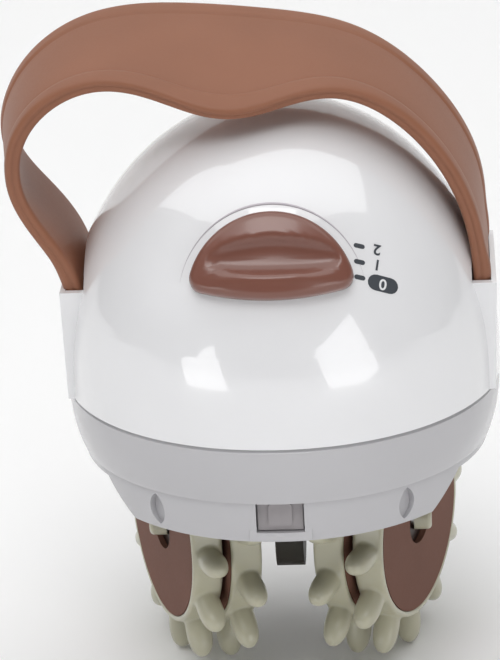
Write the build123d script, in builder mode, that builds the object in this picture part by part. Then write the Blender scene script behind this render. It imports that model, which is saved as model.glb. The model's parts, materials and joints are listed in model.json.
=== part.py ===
"""Hand-held kneading massager: a dome housing with a hand strap, a slide switch and four
oblique finger wheels that a geared motor turns on one straight shaft.

Millimetres, +Z up. The origin is the centre of the lower rim of the housing, X runs along
the wheel shaft and -Y is the front, where the switch is.
"""
import os
from math import atan2, cos, degrees, radians, sin, sqrt

from build123d import *

# ---------------------------------------------------------------- driving dimensions
SEAM_R = 62.5          # widest circle, where the dome meets the base ring
SEAM_Z = 30.0          # height of that seam above the rim
SEAM_GAP = 0.5         # shadow gap between dome and base ring
DOME_TOP = 111.0
SKIRT = 6.0            # straight stretch of the dome above the seam
WALL = 2.5

PART_LINE_Z = 12.5     # joint between base ring and bottom bowl
PART_LINE_R = 59.3
RIM_R = 56.5           # lower rim of the bottom bowl
BASE_WALL = 2.2

SHAFT_Z = -17.6        # wheel shaft axis
SHAFT_R = 3.0
WHEEL_TILT = 22.0      # each wheel is set this many degrees off square on the shaft
OUTER_WHEEL_X = 33.8
INNER_WHEEL_X = 22.5
WHEEL_T = 9.4          # tread width
RING_R = 29.6          # tread radius
DISC_R = 27.7          # brown cover disc
HUB_HOLE_R = 7.6
TIP_R = 41.0           # radius over the finger tips
FINGERS = 12
FINGER_WIDE = 8.4      # along the tread
FINGER_THICK = 7.2     # round the wheel
FINGER_ROUND = 2.9     # rounding of a finger tip

ARCH_TOP = 10.4        # side arches that let the wheels swing out under the housing
ARCH_R = 41.6          # the arches are round the wheel shaft
RELIEF_R = 57.7       # thinner wall of the bowl above the arches

STRAP_T = 4.4
STRAP_FRONT, STRAP_REAR = -18.0, 22.0
STRAP_ROOT_X = 57.4    # middle of the strap root in its socket
STRAP_ROOT_T = 5.0
SOCKET_TOP = 62.0
SOCKET_OUT = 61.6      # outer wall of the socket lug, at its top
SOCKET_FOOT = 60.9     # and at the seam
SOCKET_IN = 51.6
SOCKET_FLAT = 54.7     # flat on the dome behind the strap

KNOB_HALF = 22.4       # half the width of the switch knob
KNOB_RISE, KNOB_DROP = 17.5, 7.1   # its two arcs above and below the line of its tips
KNOB_GAP = 0.55

LEG_HALF = 4.1         # half the thickness of the narrow gear leg
LEG_GEAR_T = 4.0
MODULE_LOW, MODULE_HIGH = 0.8, 0.6
FINAL_TEETH, IDLER_TEETH, SMALL_TEETH = 28, 26, 14
LARGE_TEETH, PINION_TEETH = 40, 10
GEAR_WALL = 1.6
WELL_Z, WELL_T = 24.2, 1.6   # cover plate over the wheel bay
BOX_FRONT, BOX_REAR = -17.5, 26.6      # upper gearbox
BOX_LOW, BOX_HIGH, BOX_RIGHT = 25.8, 68.0, 13.5
MOTOR_R, MOTOR_LEN = 12.0, 30.0

CELL_R, CELL_LEN, CELL_Z = 7.1, 50.0, 31.0
CELLS = ((-24, 30), (-8, 38), (8, 38), (24, 30))     # the four standing cells, X and Y
DOOR_LOW, DOOR_HIGH, DOOR_HALF = 36.0, 80.0, 34.0    # rear battery opening
DOOR_GAP = 0.3
DOOR_SCREW_Z = 40.0
BOARD_HOLES = (31, 21)                               # spacing of the board's screw holes

os.makedirs("parts", exist_ok=True)
nodes = {}


def finish(name, part):
    """Label a finished piece, write its STEP file and keep it in the list."""
    part.label = name
    export_step(part, f"parts/{name}.step")
    nodes[name] = part
    print(f"{name:22s} solids {len(part.solids()):2d}  volume {part.volume:9.1f}")


# ---------------------------------------------------------------- dome surfaces
ARC_Z = SEAM_Z + SKIRT                # centre of the dome's quarter ellipse
ARC_H = DOME_TOP - ARC_Z
DOME_ARCS = 6


def dome_profile(inset):
    """Closed half profile of the dome, drawn `inset` inside the outer skin.

    Short arcs stand for the quarter ellipse; the last one is centred on the axis.
    """
    r, h = SEAM_R - inset, ARC_H - inset
    Polyline((0, ARC_Z + h), (0, SEAM_Z), (r, SEAM_Z), (r, ARC_Z))
    step = 90 / DOME_ARCS

    def at(angle):
        return r * cos(radians(angle)), ARC_Z + h * sin(radians(angle))

    for i in range(DOME_ARCS - 1):
        ThreePointArc(at(i * step), at((i + 0.5) * step), at((i + 1) * step))
    x, z = at(90 - step)
    z -= ARC_Z
    centre = (h * h - x * x - z * z) / (2 * (h - z))
    half = atan2(x, z - centre) / 2
    middle = ((h - centre) * sin(half), ARC_Z + centre + (h - centre) * cos(half))
    ThreePointArc((x, ARC_Z + z), middle, (0, ARC_Z + h))


def dome_solid(inset):
    with BuildPart(mode=Mode.PRIVATE) as body:
        with BuildSketch(Plane.XZ):
            with BuildLine():
                dome_profile(inset)
            make_face()
        revolve(axis=Axis.Z)
    return body.part


def dome_radius(z, inset=0.0):
    t = max(0.0, z - ARC_Z) / (ARC_H - inset)
    return (SEAM_R - inset) * sqrt(1 - t * t)


dome_outer = dome_solid(0)
dome_inner = dome_solid(WALL)

# frame of the switch on the front of the dome: z_dir is the outward normal,
# y_dir points up the meridian, which is the way the knob slides
SWITCH_Z = 81.7
SWITCH_Y = -dome_radius(SWITCH_Z)
_slope = atan2((SWITCH_Z - ARC_Z) / ARC_H ** 2, -SWITCH_Y / SEAM_R ** 2)
SWITCH_N = Vector(0, -cos(_slope), sin(_slope))
switch_plane = Plane(origin=(0, SWITCH_Y, SWITCH_Z), x_dir=(1, 0, 0), z_dir=SWITCH_N)

TIP_DROP = (KNOB_RISE - KNOB_DROP) / 2     # tips lie this far below the knob's middle


# half-moon outline of the knob, with rounded tips
TIP_ROUND = 4.2
with BuildSketch() as lens:
    with BuildLine():
        half = KNOB_HALF - TIP_ROUND
        ThreePointArc((-half, -TIP_DROP), (0, KNOB_RISE - TIP_DROP - TIP_ROUND), (half, -TIP_DROP))
        ThreePointArc((half, -TIP_DROP), (0, TIP_ROUND - KNOB_DROP - TIP_DROP), (-half, -TIP_DROP))
    make_face()
    offset(amount=TIP_ROUND, kind=Kind.ARC)


# ---------------------------------------------------------------- dome_shell
SLOT_LOW, SLOT_HIGH = -4.2, 10.4      # slot for the knob's stem, along the meridian

backings = {}
for side in (-1, 1):
    block = Pos(side * (SOCKET_IN + SOCKET_FLAT + 0.5) / 2, 2, 68) * Box(
        SOCKET_FLAT - SOCKET_IN + 0.5, 45.2, 14)
    backings[side] = block & dome_outer

tab_low, tab_high = SEAM_Z + 3, DOOR_SCREW_Z + 4
door_tab = (Pos(0, 56, (tab_low + tab_high) / 2) * Box(11, 12, tab_high - tab_low)
            & dome_solid(WALL + 0.3))
door_tab += Pos(0, 58, tab_low + 1.2) * Box(11, 8, 2.4) & dome_solid(1)

with BuildPart() as post_blank:
    with BuildSketch(switch_plane.offset(-12.3)):
        with Locations((0, 3)):
            with GridLocations(*BOARD_HOLES, 2, 2):
                Circle(2.4)
    extrude(amount=13)
    add(dome_solid(1), mode=Mode.INTERSECT)
    with BuildSketch(switch_plane.offset(-12.3)):
        with Locations((0, 3)):
            with GridLocations(*BOARD_HOLES, 2, 2):
                Circle(0.95)
    extrude(amount=6.4, mode=Mode.SUBTRACT)
board_posts = post_blank.part

with BuildPart() as dome_shell:
    add(dome_outer)
    add(dome_inner, mode=Mode.SUBTRACT)
    # socket lugs for the strap, with a backing block inside the shell
    for side in (-1, 1):
        with BuildSketch(Plane.XZ.offset(-STRAP_FRONT + 2.6)):
            Polygon((side * SOCKET_IN, SEAM_Z), (side * SOCKET_FOOT, SEAM_Z),
                    (side * SOCKET_OUT, SOCKET_TOP), (side * SOCKET_IN, SOCKET_TOP), align=None)
        extrude(amount=STRAP_FRONT - STRAP_REAR - 5.2)
        add(backings[side])
    for side in (-1, 1):
        slot_mid = side * STRAP_ROOT_X
        # flat relief in the dome above the lug, then the socket itself
        with BuildSketch(Plane.XY.offset(SOCKET_TOP)):
            with Locations((side * (SOCKET_FLAT + 10), 2)):
                Rectangle(20, 45.4)
        extrude(amount=14, mode=Mode.SUBTRACT)
        with BuildSketch(Plane.XY.offset(SEAM_Z + 3.5)):
            with Locations((slot_mid, 2)):
                Rectangle(STRAP_ROOT_T + 0.5, 40.7)
        extrude(amount=SOCKET_TOP - SEAM_Z, mode=Mode.SUBTRACT)
        with BuildSketch(Plane.XZ.offset(20.0)):
            with Locations((slot_mid, 38.0)):
                Circle(1.32)
        extrude(amount=-44.0, mode=Mode.SUBTRACT)
    # tab that the door screw bites into, and posts for the circuit board
    add(door_tab)
    add(board_posts)
    # keep the inside of the shell clear below the lugs
    with BuildSketch(Plane.XY.offset(SEAM_Z)):
        Circle(SEAM_R - WALL)
    extrude(amount=3.1, mode=Mode.SUBTRACT)
    # slot for the knob's stem
    with BuildSketch(switch_plane.offset(-8)):
        with Locations((0, (SLOT_LOW + SLOT_HIGH) / 2)):
            Rectangle(5.2, SLOT_HIGH - SLOT_LOW)
    extrude(amount=14, mode=Mode.SUBTRACT)
    # battery opening at the rear
    with BuildSketch(Plane.XZ.offset(-34)):
        with Locations((0, (DOOR_LOW + DOOR_HIGH) / 2)):
            RectangleRounded(2 * DOOR_HALF, DOOR_HIGH - DOOR_LOW, 6)
    extrude(amount=-34, mode=Mode.SUBTRACT)
    # put back what the opening took off the tab, then drill it
    add(door_tab)
    with BuildSketch(Plane.XZ.offset(-50)):
        with Locations((0, DOOR_SCREW_Z)):
            Circle(1.45)
    extrude(amount=-14, mode=Mode.SUBTRACT)
finish("dome_shell", dome_shell.part)

# ---------------------------------------------------------------- battery_door
hook_low = dome_solid(WALL - 0.2) - dome_solid(WALL + 2.1)
hook_high = dome_solid(WALL + 0.3) - dome_solid(WALL + 2.1)
hooks = []
for hook_x in (-20, 20):
    hooks.append(hook_low & (Pos(hook_x, 40, DOOR_HIGH - 3) * Box(6, 60, 5)))
    hooks.append(hook_high & (Pos(hook_x, 40, DOOR_HIGH) * Box(6, 60, 7)))

with BuildPart() as battery_door:
    with BuildSketch(Plane.XZ.offset(-34)):
        with Locations((0, (DOOR_LOW + DOOR_HIGH) / 2)):
            RectangleRounded(2 * (DOOR_HALF - DOOR_GAP), DOOR_HIGH - DOOR_LOW - 2 * DOOR_GAP,
                             6 - DOOR_GAP)
    extrude(amount=-34)
    add(dome_outer, mode=Mode.INTERSECT)
    add(dome_inner, mode=Mode.SUBTRACT)
    # two hooks reach in behind the shell above
    add(hooks)
    # screw hole and its counterbore at the lower edge
    with BuildSketch(Plane.XZ.offset(-50)):
        with Locations((0, DOOR_SCREW_Z)):
            Circle(1.7)
    extrude(amount=-14, mode=Mode.SUBTRACT)
    with BuildSketch(Plane.XZ.offset(-61.0)):
        with Locations((0, DOOR_SCREW_Z)):
            Circle(3.0)
    extrude(amount=-5, mode=Mode.SUBTRACT)
finish("battery_door", battery_door.part)

# ---------------------------------------------------------------- base_ring
BOSS_AT = 52.8
POCKET_HIGH, POCKET_WIDE = 10.0, 5.2
SCREW_ANGLES = (53, 127, 233, 307)
LATCH_HALF, LATCH_LOW = 6.7, 3.0


def screw_points(radius):
    return [(radius * cos(radians(a)), radius * sin(radians(a))) for a in SCREW_ANGLES]


with BuildPart() as base_ring:
    top = SEAM_Z - SEAM_GAP
    with BuildSketch(Plane.XZ):
        with BuildLine():
            Line((PART_LINE_R, PART_LINE_Z), (PART_LINE_R - BASE_WALL, PART_LINE_Z))
            Line((PART_LINE_R - BASE_WALL, PART_LINE_Z), (SEAM_R - BASE_WALL - 1, top - 5))
            Line((SEAM_R - BASE_WALL - 1, top - 5), (SEAM_R - 4.6, top))
            Polyline((SEAM_R - 4.6, top), (SEAM_R - 4.6, top + 3.2), (SEAM_R - 2.7, top + 3.2),
                     (SEAM_R - 2.7, top), (SEAM_R - 1.0, top), (SEAM_R - 0.3, top - 0.7))
            ThreePointArc((SEAM_R - 0.3, top - 0.7), (61.6, 20.5), (PART_LINE_R, PART_LINE_Z))
        make_face()
    revolve(axis=Axis.Z)
    # ledge that the cover plate rests on
    with BuildSketch(Plane.XY.offset(WELL_Z - 1.8)):
        Circle(59.6)
        Circle(54.6, mode=Mode.SUBTRACT)
    extrude(amount=1.8)
    with BuildSketch(Plane.XY.offset(PART_LINE_Z)):
        with Locations(*screw_points(BOSS_AT)):
            Circle(4.2)
    extrude(amount=WELL_Z - PART_LINE_Z)
    with BuildSketch(Plane.XY.offset(PART_LINE_Z)):
        with Locations(*screw_points(BOSS_AT)):
            Circle(1.45)
    extrude(amount=9.0, mode=Mode.SUBTRACT)
finish("base_ring", base_ring.part)

# ---------------------------------------------------------------- bottom_bowl
BOWL_TOP_R = PART_LINE_R - 0.7

bowl_outside = Pos(0, 0, PART_LINE_Z / 2) * Cone(RIM_R - 0.1, BOWL_TOP_R, PART_LINE_Z)
bosses = bowl_outside & Pos(0, 0, (PART_LINE_Z - 0.1) / 2) * Compound(
    [Pos(x, y, 0) * Cylinder(4.8, PART_LINE_Z - 0.1) for x, y in screw_points(BOSS_AT)])
with BuildSketch() as pocket_outline:
    with BuildLine():
        ThreePointArc((0, -POCKET_HIGH / 2), (-POCKET_WIDE / 2, 0), (0, POCKET_HIGH / 2))
        ThreePointArc((0, POCKET_HIGH / 2), (POCKET_WIDE / 2, 0), (0, -POCKET_HIGH / 2))
    make_face()
pocket_plane = Plane(origin=(RIM_R - 0.7, 0, 6.4), x_dir=(0, 1, 0), z_dir=(1, 0, 0))
pocket = extrude(pocket_plane * pocket_outline.sketch, amount=4)

with BuildPart() as bottom_bowl:
    with BuildSketch(Plane.XZ):
        with BuildLine():
            Line((RIM_R, 0), (RIM_R - 3.0, 0))
            Line((RIM_R - 3.0, 0), (BOWL_TOP_R - BASE_WALL, PART_LINE_Z - 0.1))
            Line((BOWL_TOP_R - BASE_WALL, PART_LINE_Z - 0.1), (BOWL_TOP_R, PART_LINE_Z - 0.1))
            ThreePointArc((BOWL_TOP_R, PART_LINE_Z - 0.1), (58.0, 6.0), (RIM_R, 0))
        make_face()
    revolve(axis=Axis.Z)
    add(bosses)
    # thick block behind the latch
    with BuildSketch(Plane.XY.offset(0.6)):
        with Locations((0, -54.2)):
            Rectangle(2 * LATCH_HALF + 4, 5.6)
    extrude(amount=PART_LINE_Z - 0.7)
    # screw wells from below
    with BuildSketch(Plane.XY.offset(-1)):
        with Locations(*screw_points(BOSS_AT)):
            Circle(3.0)
    extrude(amount=8.5, mode=Mode.SUBTRACT)
    with BuildSketch(Plane.XY.offset(5)):
        with Locations(*screw_points(BOSS_AT)):
            Circle(1.65)
    extrude(amount=10, mode=Mode.SUBTRACT)
    # latch window in the front wall and the hole for its stem
    with BuildSketch(Plane.XZ.offset(53.4)):
        with Locations((0, (LATCH_LOW + PART_LINE_Z) / 2 + 1)):
            Rectangle(2 * LATCH_HALF, PART_LINE_Z - LATCH_LOW + 2)
    extrude(amount=10, mode=Mode.SUBTRACT)
    with BuildSketch(Plane.XZ.offset(48)):
        with Locations((0, 7.6)):
            Rectangle(5.0, 4.0)
    extrude(amount=10, mode=Mode.SUBTRACT)
    # shallow lens-shaped marks in the wall in front of the screws
    for angle in SCREW_ANGLES:
        add(Rot(0, 0, angle) * pocket, mode=Mode.SUBTRACT)
    # arches at both sides, where the wheels swing out
    for side in (-1, 1):
        with BuildSketch(Plane.YZ.offset(side * 30)):
            with Locations((0, SHAFT_Z)):
                Circle(ARCH_R)
            with Locations((0, ARCH_TOP - 40)):
                Rectangle(90, 80, mode=Mode.INTERSECT)
        extrude(amount=side * 40, mode=Mode.SUBTRACT)
    # thinner wall above the arches, for the fingers' sweep
    with BuildSketch(Plane.XY.offset(ARCH_TOP - 1)):
        Circle(RELIEF_R)
        Rectangle(80, 140, mode=Mode.SUBTRACT)
        Rectangle(140, 62, mode=Mode.INTERSECT)
    extrude(amount=10, mode=Mode.SUBTRACT)
finish("bottom_bowl", bottom_bowl.part)

# ---------------------------------------------------------------- release_latch
with BuildPart() as release_latch:
    with BuildSketch(Plane.XZ.offset(55.0)):
        with Locations((0, (LATCH_LOW + PART_LINE_Z) / 2)):
            Rectangle(2 * LATCH_HALF - 0.8, PART_LINE_Z - LATCH_LOW - 0.8)
    extrude(amount=0.9)
    with BuildSketch(Plane.XZ.offset(55.8)):
        with Locations((0, 8.2)):
            RectangleRounded(6.6, 6.6, 1.2)
    extrude(amount=0.8)
    with BuildSketch(Plane.XZ.offset(49.6)):
        with Locations((0, 7.6)):
            Rectangle(4.2, 3.2)
    extrude(amount=5.6)
finish("release_latch", release_latch.part)

# ---------------------------------------------------------------- well_cover
with BuildPart() as well_cover:
    with BuildSketch(Plane.XY.offset(WELL_Z)):
        Circle(57.0)
        Rectangle(2 * LEG_HALF + 0.4, 27.6, mode=Mode.SUBTRACT)
    extrude(amount=WELL_T)
    # low rib round the edge
    with BuildSketch(Plane.XY.offset(WELL_Z + WELL_T)):
        Circle(57.0)
        Circle(55.6, mode=Mode.SUBTRACT)
    extrude(amount=1.6)
finish("well_cover", well_cover.part)

# ---------------------------------------------------------------- housing_screws
with BuildPart() as housing_screws:
    with BuildSketch(Plane.XY.offset(5.3)):
        with Locations(*screw_points(BOSS_AT)):
            Circle(2.8)
    extrude(amount=2.2)
    with BuildSketch(Plane.XY.offset(7.5)):
        with Locations(*screw_points(BOSS_AT)):
            Circle(1.4)
    extrude(amount=12.0)
    with BuildSketch(Plane.XY.offset(5.3)):
        with Locations(*screw_points(BOSS_AT)):
            Rectangle(3.4, 0.7)
            Rectangle(0.7, 3.4)
    extrude(amount=1.1, mode=Mode.SUBTRACT)
finish("housing_screws", housing_screws.part)

# ---------------------------------------------------------------- hand_strap
# centre line of the band at its front and rear edges, left root to right root
STRAP_EDGE = {
    STRAP_FRONT: ((-63.6, 74), (-72.2, 90.5), (-70.8, 105.7), (-52.5, 120.7), (-28, 120.8),
                  (-3.4, 118.6), (19.2, 118), (43.3, 101.9), (54.8, 79.4)),
    STRAP_REAR: ((-66, 78), (-77.9, 95.8), (-74.1, 113.2), (-52.3, 130.5), (-23.8, 132.7),
                 (-1.2, 130.4), (21.6, 125.1), (44.8, 106.9), (56.2, 85)),
}
ROOT_TOP = 60.0
STATIONS = 26

edges = {}
for y, points in STRAP_EDGE.items():
    path = [(-STRAP_ROOT_X, y, ROOT_TOP), *((x, y, z) for x, z in points),
            (STRAP_ROOT_X, y, ROOT_TOP)]
    edges[y] = Spline(*path, tangents=((0, 0, 1), (0, 0, -1)))


def strap_plane(t):
    """Plane square to the band at `t` along it, and the band's width there."""
    front, rear = (edges[y].position_at(t) for y in (STRAP_FRONT, STRAP_REAR))
    along = edges[STRAP_FRONT].tangent_at(t) + edges[STRAP_REAR].tangent_at(t)
    across = rear - front
    normal = Vector(-along.Z, 0, along.X)
    return Plane((front + rear) / 2, x_dir=across, z_dir=across.cross(normal)), across.length


with BuildPart() as hand_strap:
    for k in range(STATIONS + 1):
        station, width = strap_plane(k / STATIONS)
        with BuildSketch(station):
            Rectangle(width, STRAP_T)
    loft()
    for side in (-1, 1):
        with BuildSketch(Plane.XY.offset(34.0)):
            with Locations((side * STRAP_ROOT_X, 2)):
                Rectangle(STRAP_ROOT_T, STRAP_REAR - STRAP_FRONT)
        extrude(amount=ROOT_TOP - 34.0)
        with BuildSketch(Plane.XZ.offset(20.0)):
            with Locations((side * STRAP_ROOT_X, 38.0)):
                Circle(1.32)
        extrude(amount=-44.0, mode=Mode.SUBTRACT)
finish("hand_strap", hand_strap.part)

# ---------------------------------------------------------------- strap_pins
with BuildPart() as strap_pins:
    with BuildSketch(Plane.XZ.offset(19.8)):
        with Locations((-STRAP_ROOT_X, 38.0), (STRAP_ROOT_X, 38.0)):
            Circle(1.3)
    extrude(amount=-43.6)
finish("strap_pins", strap_pins.part)

# ---------------------------------------------------------------- switch_knob
KNOB_H = 4.4
knob_floor, knob_top = dome_solid(-KNOB_GAP), dome_solid(-KNOB_H)
SCOOP_R, SCOOP_OFF = 17.6, 20.5
scoop = Pos(SWITCH_N * SCOOP_OFF) * switch_plane.location * Pos(0, -TIP_DROP + 3.2, 0) * Sphere(SCOOP_R)
STEM_LOW, STEM_HIGH = -3.6, 1.6

with BuildPart() as switch_knob:
    with BuildSketch(switch_plane.offset(-6)):
        add(lens.sketch)
    extrude(amount=16)
    add(knob_top, mode=Mode.INTERSECT)
    add(knob_floor, mode=Mode.SUBTRACT)
    add(scoop, mode=Mode.SUBTRACT)
    # stem and fork that carry the switch lever
    with BuildSketch(switch_plane.offset(-7.6)):
        with Locations((0, (STEM_LOW + STEM_HIGH) / 2)):
            Rectangle(4.2, STEM_HIGH - STEM_LOW)
    extrude(amount=8.6)
    with BuildSketch(switch_plane.offset(-7.6)):
        with Locations((0, -1)):
            Rectangle(4.2, 2.6)
    extrude(amount=3.0, mode=Mode.SUBTRACT)
finish("switch_knob", switch_knob.part)

# ---------------------------------------------------------------- slide switch and board
with BuildPart() as switch_case:
    with BuildSketch(switch_plane.offset(-12.3)):
        with Locations((0, 3.2)):
            Rectangle(16, 22)
    extrude(amount=4.0)
    with BuildSketch(switch_plane.offset(-11.4)):
        with Locations((0, 3.2)):
            Rectangle(13.6, 19.6)
    extrude(amount=2.5, mode=Mode.SUBTRACT)
    with BuildSketch(switch_plane.offset(-9.5)):
        with Locations((0, 2.9)):
            Rectangle(4.4, 11.2)
    extrude(amount=4, mode=Mode.SUBTRACT)
finish("switch_case", switch_case.part)

with BuildPart() as switch_lever:
    with BuildSketch(switch_plane.offset(-11.1)):
        with Locations((0, -1)):
            Rectangle(8, 7)
    extrude(amount=1.8)
    with BuildSketch(switch_plane.offset(-10)):
        with Locations((0, -1)):
            Rectangle(3.2, 1.6)
    extrude(amount=4.6)
finish("switch_lever", switch_lever.part)

with BuildPart() as circuit_board:
    with BuildSketch(switch_plane.offset(-13.9)):
        with Locations((0, 3)):
            Rectangle(38, 28)
            with GridLocations(*BOARD_HOLES, 2, 2):
                Circle(1.2, mode=Mode.SUBTRACT)
    extrude(amount=1.6)
    # speed resistor, diode and capacitor
    with BuildSketch(switch_plane.offset(-12.3)):
        with Locations((-12.5, 2), (12.5, 0)):
            Rectangle(4, 9)
    extrude(amount=2.4)
    with BuildSketch(switch_plane.offset(-12.3)):
        with Locations((11.6, 9)):
            Circle(2.5)
    extrude(amount=3.6)
finish("circuit_board", circuit_board.part)

with BuildPart() as board_screws:
    for low, high, radius in ((-15.3, -13.9, 2.0), (-13.9, -7.9, 0.95)):
        with BuildSketch(switch_plane.offset(low)):
            with Locations((0, 3)):
                with GridLocations(*BOARD_HOLES, 2, 2):
                    Circle(radius)
        extrude(amount=high - low)
finish("board_screws", board_screws.part)

# ---------------------------------------------------------------- gears
FULL = 360.0
FINAL_R = FINAL_TEETH * MODULE_LOW / 2
IDLER_R = IDLER_TEETH * MODULE_LOW / 2
SMALL_R = SMALL_TEETH * MODULE_LOW / 2
LARGE_R = LARGE_TEETH * MODULE_HIGH / 2
PINION_R = PINION_TEETH * MODULE_HIGH / 2
STAGE = LARGE_R + PINION_R

# gear centres in the YZ plane, from the wheel shaft up to the motor
shaft_at = (0.0, SHAFT_Z)
lower_at = (0.0, SHAFT_Z + FINAL_R + IDLER_R)
upper_at = (0.0, lower_at[1] + 2 * IDLER_R)
compound_at = (0.0, upper_at[1] + IDLER_R + SMALL_R)
reduction_at = (12.0, compound_at[1] + sqrt(STAGE ** 2 - 12.0 ** 2))
motor_at = (3.0, reduction_at[1] + sqrt(STAGE ** 2 - 9.0 ** 2))


def mesh_phase(at, phase, teeth, other_at, other_teeth):
    """Angle of one tooth of the second gear that is in mesh with the first."""
    line = degrees(atan2(other_at[1] - at[1], other_at[0] - at[0]))
    pitch, other_pitch = FULL / teeth, FULL / other_teeth
    turn = line + 180 - other_pitch * ((phase - line) / pitch + 0.5)
    return turn % other_pitch


def gear_sketch(teeth, module, phase):
    """Plain toothed outline about the origin, one tooth at `phase` degrees."""
    r = teeth * module / 2
    tip, root = r + 0.82 * module, r - 1.15 * module
    pitch = radians(FULL / teeth)
    half_root, half_tip = 0.30 * pitch * root, 0.125 * pitch * tip
    with BuildSketch() as gear:
        Circle(root)
        with PolarLocations(0, teeth, start_angle=phase):
            Polygon((root - 0.3, -half_root), (tip, -half_tip), (tip, half_tip),
                    (root - 0.3, half_root), align=None)
    return gear.sketch


lower_phase = mesh_phase(shaft_at, 0, FINAL_TEETH, lower_at, IDLER_TEETH)
upper_phase = mesh_phase(lower_at, lower_phase, IDLER_TEETH, upper_at, IDLER_TEETH)
compound_phase = mesh_phase(upper_at, upper_phase, IDLER_TEETH, compound_at, SMALL_TEETH)
reduction_phase = mesh_phase(compound_at, 0, LARGE_TEETH, reduction_at, PINION_TEETH)
pinion_phase = mesh_phase(reduction_at, 0, LARGE_TEETH, motor_at, PINION_TEETH)
AXLE_R, BORE_R = 1.5, 1.55
LEG_X = -LEG_GEAR_T / 2                    # leg gears start here
LARGE_X, LARGE_T = 3.0, 2.6                # compound gear's large wheel
SECOND_X = 7.0                             # second stage


def toothed(x, thick, at, sketch, bore):
    """One gear disc, square to X, from x to x + thick."""
    with BuildPart(mode=Mode.PRIVATE) as disc:
        with BuildSketch(Plane.YZ.offset(x)):
            with Locations(at):
                add(sketch)
                Circle(bore, mode=Mode.SUBTRACT)
        extrude(amount=thick)
    return disc.part


with BuildPart() as final_gear:
    add(toothed(LEG_X, LEG_GEAR_T, shaft_at, gear_sketch(FINAL_TEETH, MODULE_LOW, 0), SHAFT_R))
finish("final_gear", final_gear.part)

with BuildPart() as idler_gear_lower:
    outline = gear_sketch(IDLER_TEETH, MODULE_LOW, lower_phase)
    add(toothed(LEG_X, LEG_GEAR_T, lower_at, outline, BORE_R))
finish("idler_gear_lower", idler_gear_lower.part)

with BuildPart() as idler_gear_upper:
    outline = gear_sketch(IDLER_TEETH, MODULE_LOW, upper_phase)
    add(toothed(LEG_X, LEG_GEAR_T, upper_at, outline, BORE_R))
finish("idler_gear_upper", idler_gear_upper.part)

with BuildSketch() as spacer:
    Circle(4.0)

with BuildPart() as compound_gear:
    outline = gear_sketch(SMALL_TEETH, MODULE_LOW, compound_phase)
    add(toothed(LEG_X, LEG_GEAR_T, compound_at, outline, BORE_R))
    add(toothed(LEG_X + LEG_GEAR_T, LARGE_X - LEG_GEAR_T / 2, compound_at, spacer.sketch, BORE_R))
    outline = gear_sketch(LARGE_TEETH, MODULE_HIGH, 0)
    add(toothed(LARGE_X, LARGE_T, compound_at, outline, BORE_R))
finish("compound_gear", compound_gear.part)

with BuildPart() as reduction_gear:
    outline = gear_sketch(PINION_TEETH, MODULE_HIGH, reduction_phase)
    add(toothed(LARGE_X, SECOND_X - LARGE_X, reduction_at, outline, BORE_R))
    outline = gear_sketch(LARGE_TEETH, MODULE_HIGH, 0)
    add(toothed(SECOND_X, LARGE_T, reduction_at, outline, BORE_R))
finish("reduction_gear", reduction_gear.part)

with BuildPart() as motor_pinion:
    outline = gear_sketch(PINION_TEETH, MODULE_HIGH, pinion_phase)
    add(toothed(SECOND_X - 0.2, 3.2, motor_at, outline, 1.0))
finish("motor_pinion", motor_pinion.part)

# ---------------------------------------------------------------- gearbox halves
LEG_SPLIT = -2.3                           # plane between the two halves
LEG_BOTTOM_R = FINAL_R + 0.66 + 0.6 + 1.4
LEG_WIDE_R = IDLER_R + 0.66 + 0.6 + 1.4


def leg_outline(inset):
    """Tapered leg round the three gears that stand in line."""
    with BuildSketch() as leg:
        with Locations(shaft_at):
            Circle(LEG_BOTTOM_R - inset)
        with Locations(lower_at, upper_at):
            Circle(LEG_WIDE_R - inset)
        make_hull()
    return leg.sketch


def box_outline(inset):
    with BuildSketch() as box:
        with Locations(((BOX_FRONT + BOX_REAR) / 2, (BOX_LOW + BOX_HIGH) / 2)):
            RectangleRounded(BOX_REAR - BOX_FRONT - 2 * inset, BOX_HIGH - BOX_LOW - 2 * inset,
                             4 - inset)
    return box.sketch


motor_holes = [(motor_at[0] - 7.5, motor_at[1]), (motor_at[0] + 7.5, motor_at[1])]
fixed_axles = (lower_at, upper_at)
long_axles = (compound_at, reduction_at)
box_screws = [(BOX_FRONT + 3.4, BOX_LOW + 21), (BOX_FRONT + 3.4, BOX_HIGH - 3.4),
              (BOX_REAR - 3.4, BOX_HIGH - 3.4), (BOX_REAR - 3.4, BOX_LOW + 5.0)]

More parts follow.
